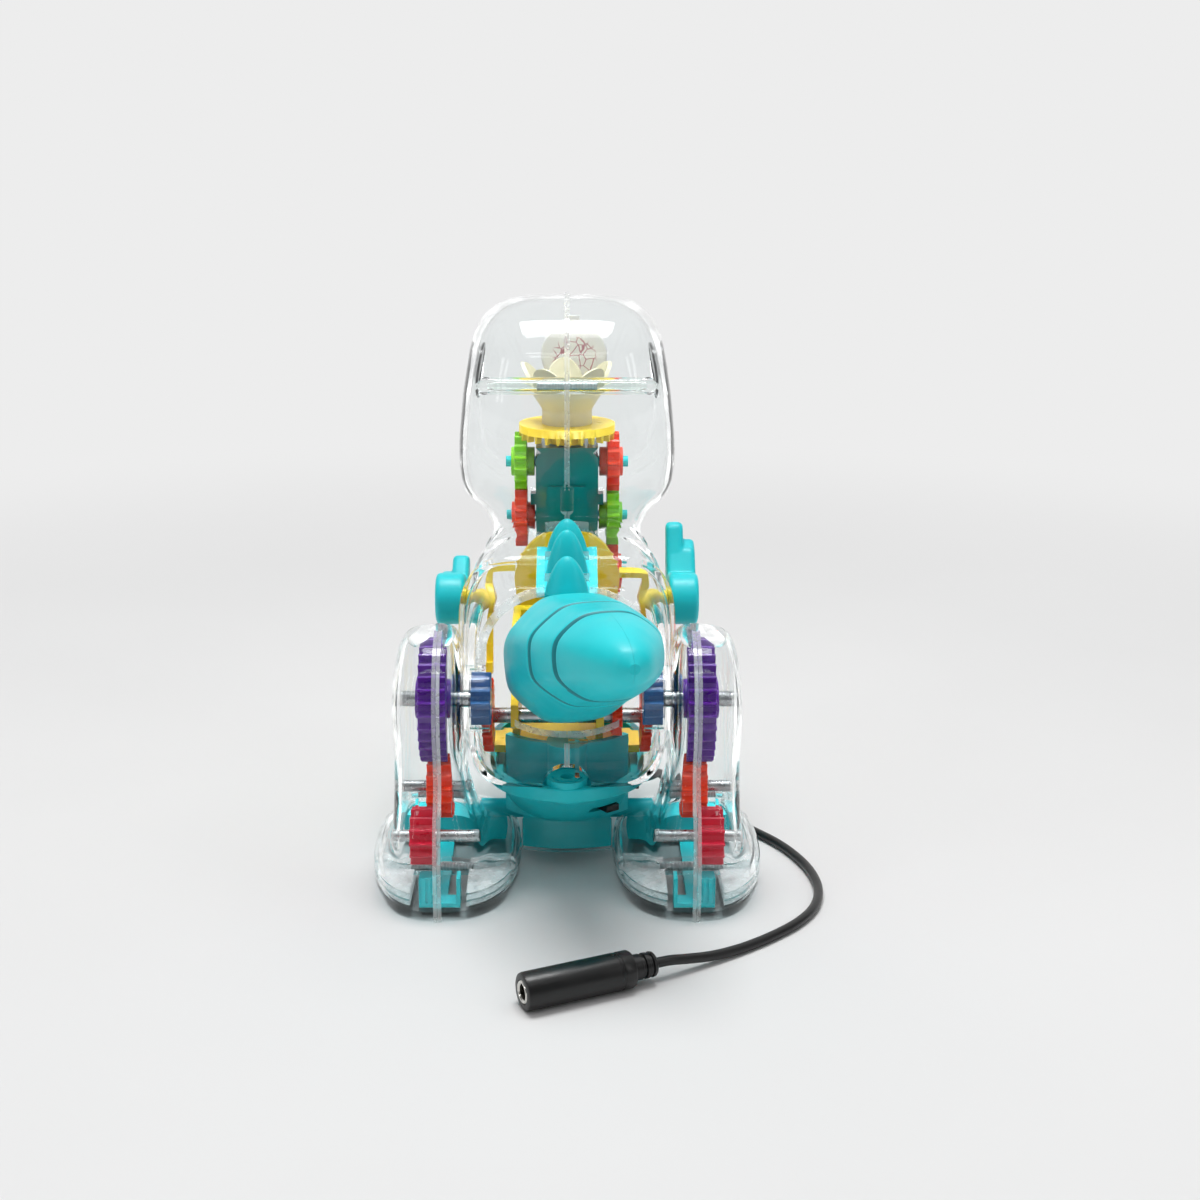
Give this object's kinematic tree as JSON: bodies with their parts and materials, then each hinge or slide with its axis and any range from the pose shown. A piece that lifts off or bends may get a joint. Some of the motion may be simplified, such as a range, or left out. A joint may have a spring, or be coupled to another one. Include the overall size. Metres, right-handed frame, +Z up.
{
  "type": "switch-adapted toy dinosaur",
  "caption": "Clear toy dinosaur standing on two feet, with coloured gears inside, swinging arms and tail, and a short lead ending in a jack socket for an ability switch.",
  "frame": {"origin": "middle of the toy's box, on the floor, without the lead and jack", "axes": "+X to the dinosaur's left, +Y to its tail, +Z up"},
  "size_m": [0.1154, 0.1827, 0.145],
  "materials": {
    "clear_shell": "clear polystyrene moulding, polished",
    "teal": "moulded ABS, semi gloss",
    "dark_teal": "translucent tinted moulding",
    "yellow": "moulded acetal, semi gloss",
    "cream": "moulded, satin",
    "lime": "moulded acetal",
    "orange_red": "moulded acetal",
    "white": "moulded nylon",
    "purple": "moulded acetal",
    "crimson": "moulded acetal",
    "blue": "moulded, tinted",
    "steel": "ground",
    "motor_steel": "drawn can",
    "board_green": "solder mask",
    "cell_jacket": "printed jacket without marks",
    "lamp_clear": "clear epoxy",
    "reflector_white": "white card",
    "eye_black": "moulded",
    "black": "moulded",
    "cord_black": "PVC jacket",
    "jack_black": "moulded",
    "jack_metal": "nickel plated"
  },
  "bodies": {
    "toy": {"shell_left": "clear_shell", "shell_right": "clear_shell", "leg_left_outer": "clear_shell", "leg_left_inner": "clear_shell", "leg_right_outer": "clear_shell", "leg_right_inner": "clear_shell", "base_skirt": "clear_shell", "base_tub": "teal", "battery_door": "teal", "back_spikes": "teal", "foot_left": "teal", "foot_right": "teal", "gear_spindles": "teal", "neck_gearbox": "dark_teal", "mechanism_frame": "yellow", "leg_pins": "steel", "tail_pin": "steel", "case_screws": "steel", "drive_motor": "motor_steel", "circuit_board": "board_green", "battery_cells": "cell_jacket", "head_lamp": "lamp_clear", "lamp_reflector": "reflector_white", "eyes": "eye_black", "cord_grommet": "cord_black", "switch_lead": "cord_black", "jack_body": "jack_black", "jack_sleeve": "jack_metal"},
    "crown": {"crown_gear": "yellow", "lamp_cup": "cream"},
    "upper_left": {"upper_gear_left": "lime"},
    "upper_right": {"upper_gear_right": "orange_red"},
    "lower_left": {"lower_gear_left": "orange_red"},
    "lower_right": {"lower_gear_right": "lime"},
    "idler": {"idler_gear": "orange_red"},
    "disc": {"crank_disc": "yellow"},
    "pinion": {"motor_pinion": "white"},
    "transfer_front": {"transfer_gear_front": "orange_red"},
    "transfer_rear": {"transfer_gear_rear": "orange_red"},
    "cross": {"drive_gears": "orange_red", "cross_shaft": "steel"},
    "hip_left": {"hip_hub_left": "blue", "hip_shaft_left": "steel", "thigh_gear_left": "purple"},
    "hip_right": {"hip_hub_right": "blue", "hip_shaft_right": "steel", "thigh_gear_right": "purple"},
    "knee_left": {"knee_gear_left": "orange_red"},
    "knee_right": {"knee_gear_right": "orange_red"},
    "ankle_left": {"ankle_gear_left": "crimson"},
    "ankle_right": {"ankle_gear_right": "crimson"},
    "arm_left_body": {"arm_left": "teal", "arm_lever_left": "yellow"},
    "arm_right_body": {"arm_right": "teal", "arm_lever_right": "yellow"},
    "tail": {"tail_left": "teal", "tail_right": "teal", "tail_hub": "yellow"},
    "switch_knob": {"power_switch": "black"}
  },
  "joints": [
    {"name": "hip_left_spin", "type": "hinge", "parent": "toy", "child": "hip_left", "pos_m": [0.03, 0.025, 0.05], "axis": [1, 0, 0], "continuous": true},
    {"name": "hip_right_spin", "type": "hinge", "parent": "toy", "child": "hip_right", "pos_m": [-0.03, 0.025, 0.05], "axis": [1, 0, 0], "continuous": true},
    {"name": "cross_spin", "type": "hinge", "parent": "toy", "child": "cross", "pos_m": [0, 0.0128, 0.04127], "axis": [1, 0, 0], "continuous": true},
    {"name": "transfer_rear_spin", "type": "hinge", "parent": "toy", "child": "transfer_rear", "pos_m": [-0.013, -0.00219, 0.04179], "axis": [1, 0, 0], "continuous": true},
    {"name": "transfer_front_spin", "type": "hinge", "parent": "toy", "child": "transfer_front", "pos_m": [-0.013, -0.02188, 0.04526], "axis": [1, 0, 0], "continuous": true},
    {"name": "pinion_spin", "type": "hinge", "parent": "toy", "child": "pinion", "pos_m": [-0.0125, -0.03337, 0.05491], "axis": [1, 0, 0], "continuous": true},
    {"name": "idler_spin", "type": "hinge", "parent": "toy", "child": "idler", "pos_m": [-0.0125, -0.035, 0.0678], "axis": [1, 0, 0], "continuous": true},
    {"name": "lower_right_spin", "type": "hinge", "parent": "toy", "child": "lower_right", "pos_m": [-0.0125, -0.035, 0.0838], "axis": [1, 0, 0], "continuous": true},
    {"name": "upper_right_spin", "type": "hinge", "parent": "toy", "child": "upper_right", "pos_m": [-0.0125, -0.035, 0.0993], "axis": [1, 0, 0], "continuous": true},
    {"name": "crown_spin", "type": "hinge", "parent": "toy", "child": "crown", "pos_m": [0, -0.035, 0.1068], "axis": [0, 0, 1], "continuous": true},
    {"name": "upper_left_spin", "type": "hinge", "parent": "toy", "child": "upper_left", "pos_m": [0.0125, -0.035, 0.0993], "axis": [1, 0, 0], "continuous": true},
    {"name": "lower_left_spin", "type": "hinge", "parent": "toy", "child": "lower_left", "pos_m": [0.0125, -0.035, 0.0838], "axis": [1, 0, 0], "continuous": true},
    {"name": "disc_spin", "type": "hinge", "parent": "toy", "child": "disc", "pos_m": [0, -0.027, 0.0678], "axis": [0, 1, 0], "continuous": true},
    {"name": "knee_left_spin", "type": "hinge", "parent": "toy", "child": "knee_left", "pos_m": [0.032, 0.02813, 0.02772], "axis": [1, 0, 0], "continuous": true},
    {"name": "knee_right_spin", "type": "hinge", "parent": "toy", "child": "knee_right", "pos_m": [-0.032, 0.02813, 0.02772], "axis": [1, 0, 0], "continuous": true},
    {"name": "ankle_left_spin", "type": "hinge", "parent": "toy", "child": "ankle_left", "pos_m": [0.035, 0.03853, 0.01835], "axis": [1, 0, 0], "continuous": true},
    {"name": "ankle_right_spin", "type": "hinge", "parent": "toy", "child": "ankle_right", "pos_m": [-0.035, 0.03853, 0.01835], "axis": [1, 0, 0], "continuous": true},
    {"name": "arm_left_swing", "type": "hinge", "parent": "toy", "child": "arm_left_body", "pos_m": [0.026, -0.012, 0.066], "axis": [-1, 0, 0], "range_deg": [0, 28]},
    {"name": "arm_right_swing", "type": "hinge", "parent": "toy", "child": "arm_right_body", "pos_m": [-0.026, -0.012, 0.066], "axis": [-1, 0, 0], "range_deg": [-28, 0]},
    {"name": "tail_swing", "type": "hinge", "parent": "toy", "child": "tail", "pos_m": [0, 0.021, 0.0585], "axis": [0, 0, 1], "range_deg": [-26, 0]},
    {"name": "switch_slide", "type": "slide", "parent": "toy", "child": "switch_knob", "axis": [0.809, 0.5878, 0], "range_m": [0, 0.0036]}
  ],
  "couplings": [
    {"joint": "hip_right_spin", "follows": "hip_left_spin", "ratio": 1},
    {"joint": "cross_spin", "follows": "hip_left_spin", "ratio": -0.66667},
    {"joint": "transfer_rear_spin", "follows": "hip_left_spin", "ratio": 0.33333},
    {"joint": "transfer_front_spin", "follows": "hip_left_spin", "ratio": -0.33333},
    {"joint": "pinion_spin", "follows": "hip_left_spin", "ratio": 0.66667},
    {"joint": "idler_spin", "follows": "hip_left_spin", "ratio": -0.41667},
    {"joint": "lower_right_spin", "follows": "hip_left_spin", "ratio": 0.41667},
    {"joint": "upper_right_spin", "follows": "hip_left_spin", "ratio": -0.44444},
    {"joint": "crown_spin", "follows": "hip_left_spin", "ratio": -0.26667},
    {"joint": "upper_left_spin", "follows": "hip_left_spin", "ratio": 0.44444},
    {"joint": "lower_left_spin", "follows": "hip_left_spin", "ratio": -0.41667},
    {"joint": "disc_spin", "follows": "hip_left_spin", "ratio": -0.26667},
    {"joint": "knee_left_spin", "follows": "hip_left_spin", "ratio": -2},
    {"joint": "knee_right_spin", "follows": "hip_left_spin", "ratio": -2},
    {"joint": "ankle_left_spin", "follows": "hip_left_spin", "ratio": 2.3077},
    {"joint": "ankle_right_spin", "follows": "hip_left_spin", "ratio": 2.3077},
    {"joint": "arm_right_swing", "follows": "arm_left_swing", "ratio": -1}
  ]
}
